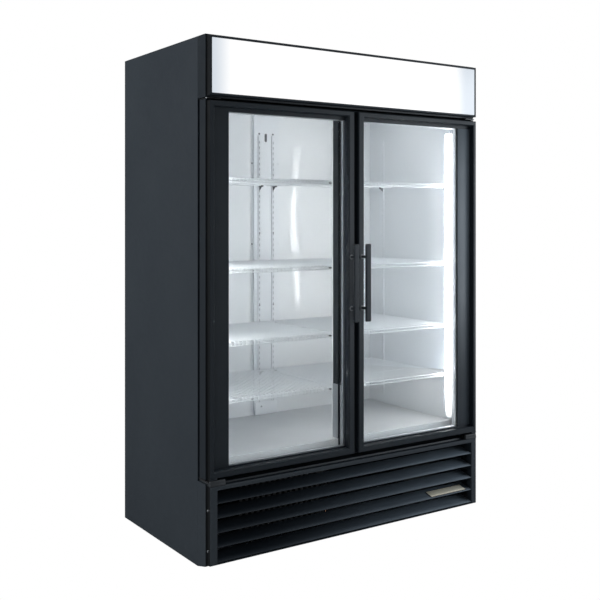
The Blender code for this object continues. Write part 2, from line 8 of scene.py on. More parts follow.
import bmesh
import bpy
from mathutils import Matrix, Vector

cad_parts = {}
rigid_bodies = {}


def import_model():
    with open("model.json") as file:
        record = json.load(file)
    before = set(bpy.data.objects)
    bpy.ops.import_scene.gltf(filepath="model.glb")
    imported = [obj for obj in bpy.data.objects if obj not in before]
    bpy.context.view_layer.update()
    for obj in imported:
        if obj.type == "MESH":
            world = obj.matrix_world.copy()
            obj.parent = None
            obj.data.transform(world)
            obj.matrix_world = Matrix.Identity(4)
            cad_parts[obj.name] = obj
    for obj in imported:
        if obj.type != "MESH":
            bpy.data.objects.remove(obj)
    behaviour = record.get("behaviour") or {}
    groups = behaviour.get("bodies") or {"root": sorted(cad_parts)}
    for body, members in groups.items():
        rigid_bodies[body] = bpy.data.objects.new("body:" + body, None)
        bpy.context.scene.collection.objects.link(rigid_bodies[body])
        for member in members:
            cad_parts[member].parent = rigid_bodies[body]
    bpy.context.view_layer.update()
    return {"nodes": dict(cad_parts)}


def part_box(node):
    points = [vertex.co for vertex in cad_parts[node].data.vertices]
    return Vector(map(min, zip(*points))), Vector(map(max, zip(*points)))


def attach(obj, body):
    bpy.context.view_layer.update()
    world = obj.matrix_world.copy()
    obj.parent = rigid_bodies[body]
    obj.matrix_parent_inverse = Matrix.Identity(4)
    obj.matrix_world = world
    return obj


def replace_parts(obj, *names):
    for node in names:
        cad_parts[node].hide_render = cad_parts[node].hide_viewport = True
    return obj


for spare in list(bpy.data.objects):
    bpy.data.objects.remove(spare)

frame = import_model()
NODES = frame["nodes"]


def corners(node):
    """Lowest and highest corner of a CAD node."""
    low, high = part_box(node)
    return Vector(low), Vector(high)


# ---------------------------------------------------------------- places, from the CAD
SIDES = (("left", -1.0), ("right", 1.0))
DOOR = {side: corners(side + "_door_frame") for side in ("left", "right")}
PACK = {side: corners(side + "_glass_pack") for side in ("left", "right")}
FRONT = DOOR["left"][0].y
DOOR_HALF = abs(DOOR["left"][0].x)   # outer edge of the doors, from the centre
LINER = corners("white_liner")
WALL = LINER[1].x - 0.002            # inner face of each side wall
REAR = LINER[1].y - 0.002            # inner face of the back wall
REAR_FACE = corners("back_panel")[1].y
FLOOR = corners("interior_floor")[1].z
FLANGE_FRONT, FLANGE_BACK = (corner.y for corner in corners("front_flange"))
MULLION = corners("centre_mullion")
GRILLE = corners("grille_frame")
OPENING_HALF = WALL - 0.005
HANDLE_CENTRE = sum(corner.z for corner in corners("left_handle")) / 2

# sizes and heights of the parts that only this script makes
STANDOFF_X, STANDOFF_REACH = 0.0275, 0.105
DUCT_HALF = 0.067                    # raised column in the middle of the back wall
DUCT_DEPTH = 0.012
COLUMN_TOP = 1.80
REAR_PILASTER = 0.038                # pilasters on that column, from the centre
SIDE_PILASTERS = (FLANGE_BACK + 0.0575, REAR - 0.108)
PILASTER_BOTTOM, PILASTER_TOP = 0.430, 1.700
PILASTER_HALF, PILASTER_REACH = 0.008, 0.0042
CLIP_SEAT = 0.0045                   # from the wall to where a clip hooks into its pilaster
SLOT_PITCH = 0.0254
KICK_TOP = 0.62                      # steel plates on the lower part of the centre post and doors
LAMP_BOTTOM, LAMP_TOP = 0.86, 1.62   # the lit tube inside each lamp cover
LAMP_WIDE, LAMP_DEEP = 0.0145, 0.0450
COVER_BOTTOM, COVER_TOP = FLOOR + 0.0160, 1.698
HINGE_SIDE, HINGE_INNER = DOOR_HALF - 0.0062, 0.6163
SIDE_SHADE_REACH = DOOR_HALF - 0.0063     # beyond this reach, the outward side faces of doors, header and grille get painted shade
# the painted shade on those side faces stops this far back
SIDE_SHADE_BACK = FRONT + 0.0262

# ---------------------------------------------------------------- camera and light
scene = bpy.context.scene
camera_data = bpy.data.cameras.new("camera")
camera_data.lens = 55.13
camera_data.sensor_width = 36.0
camera_data.shift_y = -0.1376
camera = bpy.data.objects.new("camera", camera_data)
camera.location = (-2.3105, -3.3490, 1.3149)
camera.rotation_euler = (math.radians(90.0), 0.0, math.radians(-34.18))
scene.collection.objects.link(camera)
scene.camera = camera
scene.view_settings.view_transform = "Standard"
scene.view_settings.look = "None"


def area_light(name, place, target, size, power, colour=(1.0, 1.0, 1.0)):
    data = bpy.data.lights.new(name, "AREA")
    data.shape = "RECTANGLE"
    data.size, data.size_y = size
    data.energy = power
    data.color = colour
    lamp = bpy.data.objects.new(name, data)
    lamp.location = place
    aim = Vector(target) - Vector(place)
    lamp.rotation_euler = aim.to_track_quat("-Z", "Y").to_euler()
    lamp.visible_camera = False
    scene.collection.objects.link(lamp)


# two soft boxes in the studio, and two weak lights that fill the shadows inside the compartment
area_light("soft_left", place=(-4.4, 0.9, 2.2), target=(0.0, 0.1, 1.3), size=(2.4, 2.8), power=112.0,
           colour=(0.94, 0.97, 1.0))
area_light("soft_right", place=(2.45, -2.05, 1.25), target=(0.5, -0.35, 1.0), size=(2.0, 2.1), power=42.0,
           colour=(0.86, 0.93, 1.0))
area_light("inside_fill", place=(0.24, -0.05, 1.79), target=(0.24, 0.05, 0.9), size=(0.66, 0.30), power=0.50)
area_light("foot_fill", place=(0.15, -0.13, 0.57), target=(0.15, -0.08, 0.0), size=(0.9, 0.25), power=0.45)

sun_data = bpy.data.lights.new("overhead", "SUN")
sun_data.energy = 2.0
sun_data.angle = math.radians(50.0)
sun = bpy.data.objects.new("overhead", sun_data)
sun.rotation_euler = (math.radians(4.0), math.radians(-3.0), 0.0)
scene.collection.objects.link(sun)

world = bpy.data.worlds.new("studio")
scene.world = world
world.use_nodes = True
sky = world.node_tree
sky.nodes.clear()
sky_out = sky.nodes.new("ShaderNodeOutputWorld")
seen = sky.nodes.new("ShaderNodeLightPath")
pick = sky.nodes.new("ShaderNodeMixShader")
ambient = sky.nodes.new("ShaderNodeBackground")
ambient.inputs["Color"].default_value = (0.90, 0.95, 1.0, 1.0)
ambient.inputs["Strength"].default_value = 0.14
backdrop = sky.nodes.new("ShaderNodeBackground")
backdrop.inputs["Color"].default_value = (1.0, 1.0, 1.0, 1.0)
backdrop.inputs["Strength"].default_value = 1.0
sky.links.new(seen.outputs["Is Camera Ray"], pick.inputs["Fac"])
sky.links.new(ambient.outputs[0], pick.inputs[1])
sky.links.new(backdrop.outputs[0], pick.inputs[2])
sky.links.new(pick.outputs[0], sky_out.inputs["Surface"])


# ---------------------------------------------------------------- materials
class Shader:
    """A small wrapper for building one node material."""

    def __init__(self, name):
        self.material = bpy.data.materials.new(name)
        self.material.use_nodes = True
        self.tree = self.material.node_tree
        self.tree.nodes.clear()
        self.output = self.tree.nodes.new("ShaderNodeOutputMaterial")
        self.place = self.add("ShaderNodeTexCoord").outputs["Object"]

    def add(self, kind, values=None, **settings):
        node = self.tree.nodes.new(kind)
        for key, value in settings.items():
            setattr(node, key, value)
        for key, value in (values or {}).items():
            if isinstance(value, bpy.types.NodeSocket):
                self.tree.links.new(value, node.inputs[key])
            else:
                node.inputs[key].default_value = value
        return node

    def stretched(self, scale):
        return self.add("ShaderNodeMapping", {"Vector": self.place, "Scale": scale}).outputs[0]

    def noise(self, scale, detail=3.0, vector=None, rough=0.5):
        return self.add("ShaderNodeTexNoise", {"Vector": vector or self.place, "Scale": scale,
                                               "Detail": detail, "Roughness": rough}).outputs["Fac"]

    def spread(self, value, low, high, start=0.0, end=1.0, kind="LINEAR"):
        """Maps value from start..end onto low..high."""
        return self.add("ShaderNodeMapRange", {"Value": value, "From Min": start, "From Max": end,
                                               "To Min": low, "To Max": high},
                        interpolation_type=kind).outputs["Result"]

    def vary(self, value, low, high):
        """Maps the middle of a noise, where most of it lies, onto low..high."""
        return self.spread(value, low, high, 0.3, 0.7)

    def uneven(self, low, high):
        """Roughness of plastic and paint that hands have touched."""
        return self.vary(self.noise(9.0, 5.0), low, high)

    def axis(self, letter):
        return self.add("ShaderNodeSeparateXYZ", {"Vector": self.place}).outputs[letter]

    def math(self, kind, first, second=0.0):
        return self.add("ShaderNodeMath", {0: first, 1: second}, operation=kind).outputs[0]

    def facing_up(self):
        """One on faces that look upwards, nought elsewhere."""
        facing = self.add("ShaderNodeTexCoord").outputs["Normal"]
        up = self.add("ShaderNodeSeparateXYZ", {"Vector": facing}).outputs["Z"]
        return self.math("GREATER_THAN", up, 0.5)

    def blend(self, amount, first, second):
        node = self.add("ShaderNodeMix", {0: amount, 6: first, 7: second}, data_type="RGBA")
        return node.outputs[2]

    def bump(self, height, distance, normal=None):
        values = {"Height": height, "Distance": distance, "Strength": 1.0}
        if normal is not None:
            values["Normal"] = normal
        return self.add("ShaderNodeBump", values).outputs["Normal"]

    def principled(self, values):
        node = self.add("ShaderNodeBsdfPrincipled", values)
        self.tree.links.new(node.outputs[0], self.output.inputs["Surface"])
        return node


def rgb(red, green, blue):
    return (red, green, blue, 1.0)


def painted(name, light, dark, rough, grain, relief, metallic=0.0, streak=(1.0, 1.0, 1.0), cloud=2.2,
            groove=None, extra=None):
    """Paint, plastic or metal: cloudy colour, uneven gloss and a fine surface texture.
    One setting gives a near-black colour, painted as shade onto the outward side faces of the doors, header
    and grille."""
    s = Shader(name)
    cloudy = s.noise(cloud, 4.0, s.stretched(streak))
    colour = s.blend(s.vary(cloudy, 0.0, 1.0), light, dark)
    # painted shade: outward side faces near the front turn near-black
    if groove:
        beside = s.math("GREATER_THAN", s.math("ABSOLUTE", s.axis("X")), SIDE_SHADE_REACH)
        ahead = s.math("LESS_THAN", s.axis("Y"), SIDE_SHADE_BACK)
        colour = s.blend(s.math("MULTIPLY", beside, ahead), colour, groove)
    smear = s.noise(9.0, 5.0, s.stretched(streak), 0.6)
    values = {"Base Color": colour,
              "Roughness": s.vary(smear, rough[0], rough[1]),
              "Normal": s.bump(s.noise(grain, 2.0), relief),
              "Metallic": metallic}
    values.update(extra or {})
    s.principled(values)
    return s.material


# near-black painted shade for the outward side faces of doors, header and grille
SIDE_SHADE_BLACK = rgb(0.0015, 0.0025, 0.0035)
SHY = {"Specular IOR Level": 0.30}

# Light and dark colour, roughness, scale and height of the grain, then painted()'s other settings.
PAINTS = {
    "black_steel": (rgb(0.022, 0.029, 0.036), rgb(0.018, 0.024, 0.031), (0.42, 0.52), 900.0, 0.00005,
                    {"groove": SIDE_SHADE_BLACK, "extra": SHY}),
    "door_trim": (rgb(0.0105, 0.0150, 0.0200), rgb(0.0085, 0.0125, 0.0170), (0.34, 0.44), 1100.0, 0.00004,
                  {"groove": SIDE_SHADE_BLACK, "extra": SHY}),
    "gasket_rubber": (rgb(0.020, 0.022, 0.025), rgb(0.013, 0.015, 0.017), (0.62, 0.78), 420.0, 0.00012,
                      {"extra": SHY}),
    "dark_plastic": (rgb(0.022, 0.026, 0.030), rgb(0.016, 0.019, 0.022), (0.42, 0.56), 1300.0, 0.00010, {}),
    "black_enamel": (rgb(0.012, 0.012, 0.013), rgb(0.008, 0.008, 0.009), (0.18, 0.30), 60.0, 0.0002,
                     {"extra": {"Coat Weight": 0.5}}),
    "shelf_wire": (rgb(0.84, 0.86, 0.88), rgb(0.78, 0.81, 0.84), (0.28, 0.40), 500.0, 0.00008, {}),
    "white_paint": (rgb(0.81, 0.83, 0.86), rgb(0.77, 0.79, 0.82), (0.30, 0.42), 600.0, 0.00006, {}),
    "dark_clip": (rgb(0.17, 0.18, 0.19), rgb(0.12, 0.13, 0.14), (0.35, 0.5), 500.0, 0.00008,
                  {"metallic": 0.6}),
    # grey painted shade seen through the pilaster slots
    "slot_shade_grey": (rgb(0.40, 0.42, 0.45), rgb(0.32, 0.34, 0.37), (0.40, 0.55), 500.0, 0.00008, {}),
    "badge_plate": (rgb(0.97, 0.93, 0.79), rgb(0.90, 0.83, 0.65), (0.24, 0.34), 900.0, 0.00004,
                    {"metallic": 0.2, "streak": (1.0, 1.0, 14.0)}),
    "copper": (rgb(0.72, 0.36, 0.22), rgb(0.50, 0.22, 0.13), (0.22, 0.40), 300.0, 0.00008,
               {"metallic": 1.0, "cloud": 14.0}),
    "zinc": (rgb(0.72, 0.74, 0.76), rgb(0.58, 0.60, 0.62), (0.20, 0.34), 400.0, 0.00006,
             {"metallic": 1.0, "cloud": 20.0}),
    "brushed_spacer": (rgb(0.46, 0.48, 0.50), rgb(0.38, 0.40, 0.42), (0.30, 0.42), 900.0, 0.00004,
                       {"metallic": 0.8, "streak": (1.0, 1.0, 0.1)}),
    "coil_fins": (rgb(0.66, 0.68, 0.70), rgb(0.50, 0.52, 0.54), (0.30, 0.46), 300.0, 0.0001,
                  {"metallic": 0.9, "cloud": 8.0}),
    # near-black finish, painted shade for parts seen through the grille
    "shade_black": (rgb(0.012, 0.013, 0.014), rgb(0.008, 0.008, 0.009), (0.5, 0.7), 300.0, 0.0001,
                   {"cloud": 8.0}),
    "insulation_foam": (rgb(0.74, 0.62, 0.34), rgb(0.62, 0.49, 0.24), (0.75, 0.9), 160.0, 0.0009,
                        {"cloud": 9.0}),
}
FINISH = {name: painted(name, *row[:5], **row[5]) for name, row in PAINTS.items()}


def finish(build):
    """Makes the material that build describes, and names it after the function."""
    s = Shader(build.__name__)
    build(s)
    FINISH[build.__name__] = s.material
    return build


@finish
def glass_spacer(s):
    """Bright metal with a painted reflection that brightens it towards +X, so it is duller in the left door.
    """
    # painted reflection: lighter colour towards +X
    spacer_sheen = s.spread(s.axis("X"), 0.0, 1.0, 0.05, 0.50)
    brush = s.noise(900.0, 2.0, s.stretched((1.0, 1.0, 0.1)))
    s.principled({"Base Color": s.blend(spacer_sheen, rgb(0.42, 0.44, 0.46), rgb(0.95, 0.96, 0.97)),
                  "Metallic": 0.8, "Normal": s.bump(brush, 0.00004),
                  "Roughness": s.vary(brush, 0.28, 0.40)})


@finish
def glazing_bead(s):
    """Trim with a painted reflection that makes it paler towards the top, unevenly."""
    # painted reflection: paler colour higher up
    bead_sheen = s.math("MULTIPLY", s.spread(s.axis("Z"), 0.25, 1.0, 0.55, 1.25, "SMOOTHSTEP"),
                  s.vary(s.noise(6.0, 4.0, s.stretched((1.0, 1.0, 0.3))), 0.8, 1.0))
    s.principled({"Base Color": s.blend(bead_sheen, rgb(0.010, 0.014, 0.019), rgb(0.085, 0.105, 0.125)),
                  "Normal": s.bump(s.noise(800.0, 2.0), 0.00005),
                  "Roughness": s.uneven(0.34, 0.46)})


@finish
def threshold_vinyl(s):
    """Vinyl with painted light: its front faces are pale and glow faintly, its upper faces are painted
    greyer to tone down their light.
    """
    upper = s.facing_up()
    # painted light: upper faces darker, other faces pale with a weak glow
    s.principled({"Base Color": s.blend(upper, rgb(0.86, 0.88, 0.90), rgb(0.50, 0.52, 0.54)),
                  "Emission Color": rgb(0.95, 0.98, 1.0),
                  "Emission Strength": s.spread(upper, 0.10, 0.0),
                  "Normal": s.bump(s.noise(600.0, 2.0), 0.00006),
                  "Roughness": s.uneven(0.30, 0.42)})


@finish
def lining_vinyl(s):
    """Vinyl given a painted glow, by height, where the lamp beside it would light it."""
    height = s.axis("Z")
    lit = s.math("MULTIPLY", s.spread(height, 0.0, 1.0, 0.38, 0.50, "SMOOTHSTEP"),
                 s.spread(height, 1.0, 0.0, 1.62, 1.72, "SMOOTHSTEP"))
    # painted light: the lining glows though it is no lamp
    s.principled({"Base Color": rgb(0.82, 0.84, 0.87), "Emission Color": rgb(0.96, 0.98, 1.0),
                  "Emission Strength": s.math("MULTIPLY", lit, 0.60),
                  "Normal": s.bump(s.noise(600.0, 2.0), 0.00006),
                  "Roughness": s.uneven(0.30, 0.42)})


@finish
def blade_paint(s):
    """Black paint with painted light: upper faces paler, more so towards the right end, in uneven streaks.
    """
    upper = s.facing_up()
    # painted light on the upper faces, growing towards the right
    top_light_ramp = s.spread(s.axis("X"), 0.0, 1.0, -0.55, 0.70, "SMOOTHSTEP")
    streaks = s.vary(s.noise(5.0, 4.0, s.stretched((1.0, 6.0, 6.0))), 0.7, 1.0)
    painted_top_light = s.math("MULTIPLY", s.math("MULTIPLY", upper, top_light_ramp), streaks)
    s.principled({"Base Color": s.blend(painted_top_light, rgb(0.014, 0.019, 0.025), rgb(0.150, 0.185, 0.220)),
                  "Specular IOR Level": 0.3, "Normal": s.bump(s.noise(900.0, 2.0), 0.00005),
                  "Roughness": s.uneven(0.44, 0.56)})


@finish
def white_liner(s):
    """White pre-painted sheet: soft ripples bend the lamps' reflections, and a steady lean shifts them."""
    lean = -5.7
    ripple = s.math("ADD", s.noise(2.4, 1.0, s.stretched((1.3, 1.3, 1.6))),
                    s.math("MULTIPLY", s.axis("X"), lean))
    flow = s.bump(ripple, 0.0055)
    peel = s.bump(s.noise(420.0, 2.0), 0.00004, flow)
    tint = s.blend(s.vary(s.noise(1.6, 3.0), 0.0, 1.0), rgb(0.835, 0.853, 0.873),
                   rgb(0.805, 0.823, 0.843))
    s.principled({"Base Color": tint, "Normal": peel, "Coat Weight": 0.21, "Coat Roughness": 0.020,
                  "Specular IOR Level": 0.2,
                  "Roughness": s.vary(s.noise(6.0, 4.0), 0.34, 0.46),
                  "Coat Normal": flow})


@finish
def floor_steel(s):
    """Brushed stainless floor of the compartment."""
    brush = s.noise(30.0, 6.0, s.stretched((1.0, 26.0, 26.0)), 0.65)
    tint = s.blend(s.vary(brush, 0.0, 1.0), rgb(0.62, 0.635, 0.65), rgb(0.53, 0.545, 0.56))
    s.principled({"Base Color": tint, "Metallic": 0.35, "Normal": s.bump(brush, 0.00006),
                  "Roughness": s.vary(s.noise(7.0, 4.0), 0.34, 0.5)})


@finish
def galvanised_steel(s):
    """Galvanised sheet with a crystal spangle."""
    spangle = s.add("ShaderNodeTexVoronoi", {"Vector": s.place, "Scale": 70.0}).outputs["Color"]
    grey = s.add("ShaderNodeSeparateXYZ", {"Vector": spangle}).outputs["X"]
    tint = s.blend(grey, rgb(0.52, 0.54, 0.56), rgb(0.40, 0.42, 0.44))
    s.principled({"Base Color": tint, "Metallic": 0.85, "Roughness": s.spread(grey, 0.34, 0.5),
                  "Normal": s.bump(s.noise(260.0, 2.0), 0.00005)})


@finish
def lamp_diffuser(s):
    """Opal lamp covers: brightest along the tube behind them, dimmer at the foot and in the left corner."""
    cover_power, tube_power = 18.0, 49.0
    left_share, foot_share = 0.41, 0.045
    height = s.axis("Z")
    rise = s.spread(height, 0.0, 1.0, LAMP_BOTTOM - 0.04, LAMP_BOTTOM + 0.02, "SMOOTHSTEP")
    fall = s.spread(height, 1.0, 0.0, LAMP_TOP - 0.02, LAMP_TOP + 0.04, "SMOOTHSTEP")
    inward = s.spread(s.math("ABSOLUTE", s.axis("X")), 1.0, 0.0, WALL - LAMP_WIDE, WALL)
    behind = s.spread(s.axis("Y"), 0.0, 1.0, FLANGE_BACK, FLANGE_BACK + LAMP_DEEP)
    aside = s.math("ABSOLUTE", s.math("SUBTRACT", inward, behind))
    core = s.spread(aside, 1.0, 0.0, 0.15, 0.85, "SMOOTHSTEP")
    tube = s.math("MULTIPLY", s.math("MULTIPLY", rise, fall), core)
    share = s.spread(s.axis("X"), left_share, 1.0, -0.1, 0.1)
    ribs = s.noise(240.0, 1.0, s.stretched((1.0, 1.0, 0.02)))
    foot_fade = s.spread(height, foot_share, 1.0, 0.40, 0.54, "SMOOTHSTEP")
    power = s.math("MULTIPLY", s.spread(tube, cover_power, tube_power), foot_fade)
    s.principled({"Base Color": rgb(0.86, 0.88, 0.90), "Emission Color": rgb(1.0, 0.99, 0.98),
                  "Emission Strength": s.math("MULTIPLY", power, share),
                  "Normal": s.bump(ribs, 0.0002),
                  "Roughness": s.spread(s.noise(12.0, 3.0), 0.3, 0.45)})


@finish
def header_lamp_glow(s):
    """Lit header lamp behind the sign."""
    s.principled({"Base Color": rgb(0.86, 0.88, 0.90), "Emission Color": rgb(1.0, 1.0, 1.0),
                  "Emission Strength": s.spread(s.noise(30.0, 2.0), 2.2, 2.6),
                  "Roughness": s.spread(s.noise(12.0, 3.0), 0.3, 0.45)})


@finish
def sign_acrylic(s):
    """Lit sign: a touch greyer and bluer towards the ends of the tube."""
    fade_from, fade_to, right_shift = 0.575, 0.672, 0.045
    reach = s.math("ABSOLUTE", s.axis("X"))
    shift = s.math("MULTIPLY", s.math("GREATER_THAN", s.axis("X"), 0.0), right_shift)
    ends = s.spread(s.math("ADD", reach, shift), 0.0, 1.0, fade_from, fade_to, "SMOOTHSTEP")
    patch = s.math("MULTIPLY", ends, s.spread(s.noise(3.0, 2.0), 0.85, 1.0))
    tint = s.blend(patch, rgb(1.0, 1.0, 1.0), rgb(0.60, 0.66, 0.73))
    s.principled({"Base Color": rgb(0.10, 0.10, 0.10), "Emission Color": tint, "Emission Strength": 0.97,
                  "Roughness": s.spread(s.noise(8.0, 3.0), 0.12, 0.2),
                  "Normal": s.bump(s.noise(1.4, 1.0), 0.0006)})


@finish
def door_glass(s):
    """Clear glass: light passes, and its faces mirror a little more at a slant."""
    wave = s.bump(s.noise(1.8, 1.0), 0.0008)
    mirror = s.add("ShaderNodeFresnel", {"IOR": 1.45, "Normal": wave}).outputs[0]
    smudge, strength = s.vary(s.noise(5.0, 4.0), 0.75, 0.95), 0.08
    clear = s.add("ShaderNodeBsdfTransparent", {"Color": rgb(0.984, 0.990, 0.990)})
    gloss = s.add("ShaderNodeBsdfGlossy", {"Color": rgb(0.9, 0.95, 1.0), "Roughness": 0.02,
                                           "Normal": wave})
    amount = s.math("MULTIPLY", mirror, s.math("MULTIPLY", smudge, strength))
    mix = s.add("ShaderNodeMixShader", {0: amount, 1: clear.outputs[0], 2: gloss.outputs[0]})
    s.tree.links.new(mix.outputs[0], s.output.inputs["Surface"])


@finish
def studio_floor(s):
    """Pale studio floor."""
    s.principled({"Base Color": rgb(0.93, 0.93, 0.93), "Specular IOR Level": 0.2,
                  "Roughness": s.spread(s.noise(2.0, 3.0), 0.7, 0.85)})


# the record's slot that each finish without a slot of its own belongs to; this loop builds that table and
# does not keep it
for parts, slot in ((("white_paint", "slot_shade_grey", "threshold_vinyl", "lining_vinyl"), "white_liner"),
                    (("dark_clip", "badge_plate", "copper", "zinc", "brushed_spacer", "glass_spacer"),
                     "galvanised_steel")):
    dict.fromkeys(parts, slot)
# painted shade: the condenser coil and control box are painted near-black so the gaps between the grille
# blades read dark
NODE_FINISH = {"header_lamp": "header_lamp_glow", "condenser_coil": "shade_black",
               "control_box": "shade_black"}
NODE_FINISH.update({"grille_blade_%d" % number: "blade_paint" for number in range(1, 6)})

for node_name, node in NODES.items():
    for holder in node.material_slots:
        holder.material = FINISH[NODE_FINISH.get(node_name, holder.material.name.split(".")[0])]


# ---------------------------------------------------------------- shape kit
class Shape:
    """Collects closed solids in one mesh, then becomes a named piece."""

    def __init__(self):
        self.mesh = bmesh.new()

    def block(self, low, high, bevel=0.0, segments=2):
        low, high = Vector(low), Vector(high)
        made = bmesh.ops.create_cube(self.mesh, size=1.0)["verts"]
        for vert in made:
            vert.co = Vector(low[i] + (vert.co[i] + 0.5) * (high[i] - low[i]) for i in range(3))
        if bevel:
            edges = list(dict.fromkeys(edge for vert in made for edge in vert.link_edges))
            bmesh.ops.bevel(self.mesh, geom=edges, offset=bevel, segments=segments, affect="EDGES",
                            profile=0.5)
        return self

    def slab(self, xs, ys, zs, bevel=0.0, segments=2):
        """A block between two X, two Y and two Z values; each pair may come in either order."""
        low, high = zip(*(sorted(pair) for pair in (xs, ys, zs)))
        return self.block(low, high, bevel, segments)

    def loft(self, rings, closed=False):
        """Joins rings of points that all have the same count; caps the ends unless closed."""
        loops = [[self.mesh.verts.new(point) for point in ring] for ring in rings]
        count = len(loops[0])
        pairs = list(zip(loops, loops[1:])) + ([(loops[-1], loops[0])] if closed else [])
        faces = []
        for first, second in pairs:
            for i in range(count):
                j = (i + 1) % count
                faces.append(self.mesh.faces.new((first[i], first[j], second[j], second[i])))
        if not closed:
            faces.append(self.mesh.faces.new(list(reversed(loops[0]))))
            faces.append(self.mesh.faces.new(loops[-1]))
        bmesh.ops.recalc_face_normals(self.mesh, faces=faces)
        return self

    def prism(self, outline, axis, start, end):
        """Extrudes an outline given in the two other axes."""
        def at(pair, along):
            values = list(pair)
            values.insert(axis, along)
            return Vector(values)
        return self.loft([[at(pair, start) for pair in outline], [at(pair, end) for pair in outline]])

    def tube(self, points, radius, sides=8, closed=False):
        points = [Vector(point) for point in points]
        count = len(points)
        rings = []
        side = None
        for i, point in enumerate(points):
            before = points[i - 1] if i or closed else point
            after = points[(i + 1) % count] if i < count - 1 or closed else point
            along = (after - before).normalized()
            if side is None:
                guide = Vector((0, 0, 1)) if abs(along.z) < 0.9 else Vector((1, 0, 0))
                side = along.cross(guide).normalized()
            side = (side - along * side.dot(along)).normalized()
            up = along.cross(side)
            rings.append([point + (side * math.cos(a) + up * math.sin(a)) * radius
                          for a in (2.0 * math.pi * k / sides for k in range(sides))])
        return self.loft(rings, closed)

    def turned(self, profile, base, axis, sides=28):
        """Turns a profile of (radius, height) pairs about an axis through base."""
        base, axis = Vector(base), Vector(axis).normalized()
        guide = Vector((0, 0, 1)) if abs(axis.z) < 0.9 else Vector((1, 0, 0))
        side = axis.cross(guide).normalized()
        up = axis.cross(side)
        return self.loft([[base + axis * height + (side * math.cos(a) + up * math.sin(a)) * radius
                           for a in (2.0 * math.pi * k / sides for k in range(sides))]
                          for radius, height in profile])

    def screw(self, base, axis, radius=0.0042, height=0.0022):
        """A pan-head screw with a dimple in its head."""
        self.turned([(radius, 0.0), (radius, height * 0.4), (radius * 0.86, height * 0.8),
                     (radius * 0.5, height), (radius * 0.34, height * 0.55)], base, axis, 20)
        return self

    def piece(self, name, finish, body="cabinet", angle=32.0):
        data = bpy.data.meshes.new(name)
        self.mesh.to_mesh(data)
        self.mesh.free()
        data.materials.append(FINISH[finish])
        data.shade_smooth()
        data.set_sharp_from_angle(angle=math.radians(angle))
        made = bpy.data.objects.new(name, data)
        scene.collection.objects.link(made)
        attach(made, body)
        return made


def lerp(start, end, part):
    return start + (end - start) * part


def about(centre, half):
    return (centre - half, centre + half)


def circle(count):
    return [2 * math.pi * k / count for k in range(count)]


# ---------------------------------------------------------------- shelves
WIRES = 34
WIRE_RADIUS = 0.0021
ROD_RADIUS = 0.0031
NOSE = 0.019                         # how far the front edge turns down


def wire_shelf(node):
    """A shelf of bent wires on cross rods, with its front edge turned down."""
    low, high = corners(node)
    top = high.z - WIRE_RADIUS
    under = top - WIRE_RADIUS - ROD_RADIUS
    nose = top - NOSE
    rear_end, drop, rod = high.y - 0.004, low.y + 0.002, low.y + 0.0065
    shape = Shape()
    for k in range(WIRES):
        x = lerp(low.x + 0.010, high.x - 0.010, k / (WIRES - 1))
        shape.tube([(x, rear_end, top), (x, low.y + 0.009, top), (x, low.y + 0.004, top - 0.002),
                    (x, drop, top - 0.007), (x, drop, nose)], WIRE_RADIUS, 6)
    ends = (low.x + 0.003, high.x - 0.003)
    for y, z in ((rod, under), (rod, nose + 0.002), (lerp(low.y, high.y, 0.36), under),
                 (lerp(low.y, high.y, 0.68), under), (high.y - 0.008, under)):
        shape.tube([(x, y, z) for x in ends], ROD_RADIUS, 8)
    for x in ends:
        shape.tube([(x, rear_end, under), (x, rod, under), (x, rod, nose + 0.002)], ROD_RADIUS, 8)
    made = shape.piece(node.replace("_shelf_", "_wire_shelf_"), "shelf_wire")
    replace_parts(made, node)


def shelf_clips(side, way, level):
    """Four hooked clips that carry one shelf: two on the side wall, one at the back, one at the front."""
    z = corners("%s_shelf_%d" % (side, level))[0].z - 0.003
    plate, lip, hook = (z - 0.004, z), (z - 0.001, z + 0.004), 0.0025
    clip_half, plate_bevel, lip_bevel = 0.007, 0.001, 0.0004
    wall = way * (WALL - CLIP_SEAT)
    inner = wall - way * 0.017
    shape = Shape()
    for y in SIDE_PILASTERS:
        shape.slab((wall, inner), about(y, clip_half), plate, plate_bevel)
        shape.prism([(wall, plate[0]), (wall - way * 0.012, plate[0]), (wall, z - 0.016)], 1,
                    *about(y, hook))
        shape.slab(about(inner, 0.001), about(y, clip_half), lip, lip_bevel)
    rear, x = REAR - DUCT_DEPTH - CLIP_SEAT, way * REAR_PILASTER
    shape.slab(about(x, clip_half), (rear - 0.022, rear), plate, plate_bevel)
    shape.prism([(rear, plate[0]), (rear - 0.015, plate[0]), (rear, z - 0.018)], 0, *about(x, hook))
    shape.slab(about(x, clip_half), (rear - 0.023, rear - 0.021), lip, lip_bevel)
    front, x, clip_half = FLANGE_BACK + 0.046, way * 0.022, 0.006
    shape.slab(about(x, clip_half), (front, front + 0.016), plate, plate_bevel)
    shape.slab(about(x, clip_half), (front + 0.014, front + 0.016), lip, lip_bevel)
    shape.piece("%s_shelf_clips_%d" % (side, level), "dark_clip")


for side, way in SIDES:
    for level in (1, 2, 3, 4):
        wire_shelf("%s_shelf_%d" % (side, level))
        shelf_clips(side, way, level)


